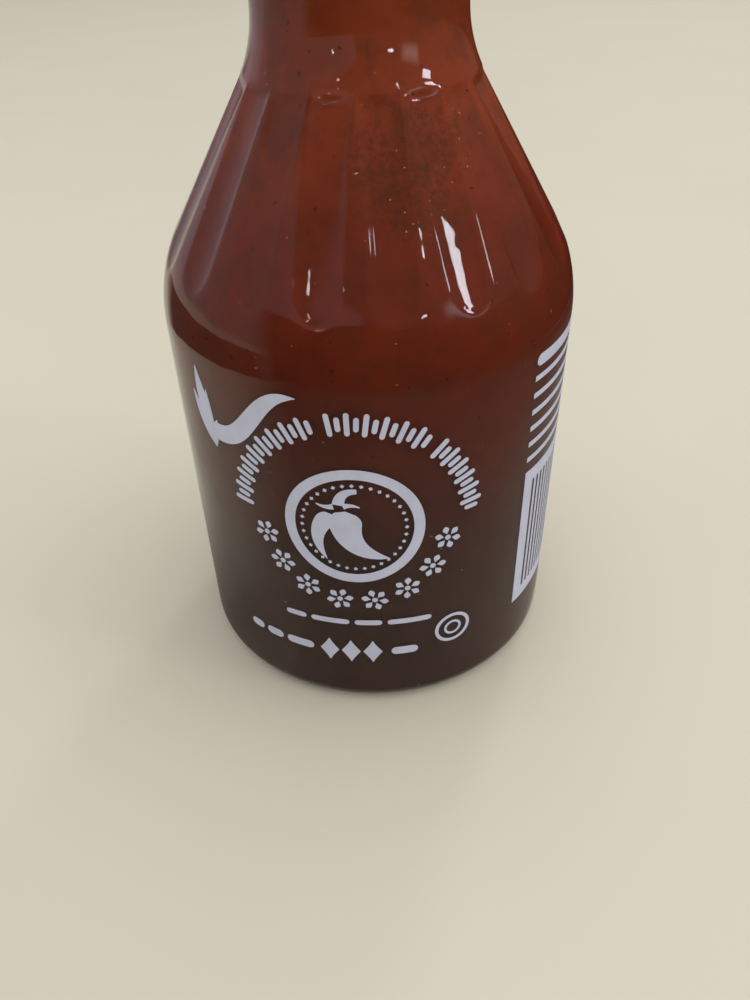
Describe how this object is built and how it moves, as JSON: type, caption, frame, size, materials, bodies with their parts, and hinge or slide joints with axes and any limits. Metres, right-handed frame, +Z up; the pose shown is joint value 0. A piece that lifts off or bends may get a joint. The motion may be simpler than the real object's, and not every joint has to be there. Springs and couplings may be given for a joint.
{
  "type": "hot sauce bottle",
  "caption": "Clear squeeze bottle of hot sauce with a fluted shoulder, a long neck, a screw cap and a pointed nozzle tip that lays a thin line of sauce.",
  "frame": {"origin": "centre of the ring that the bottle stands on", "axes": "+Z up along the bottle's axis; the printed front faces -Y; +X is to the right of someone who looks at the front"},
  "size_m": [0.058, 0.058, 0.1716],
  "materials": {
    "clear_plastic": "clear, glossy moulded plastic",
    "chilli_sauce": "thick wet sauce with fine specks of chilli",
    "cap_plastic": "satin moulded plastic",
    "white_print": "screen-printed opaque ink"
  },
  "bodies": {
    "root": {"bottle": "clear_plastic", "sauce": "chilli_sauce", "cap": "cap_plastic", "nozzle_tip": "cap_plastic"}
  },
  "joints": []
}
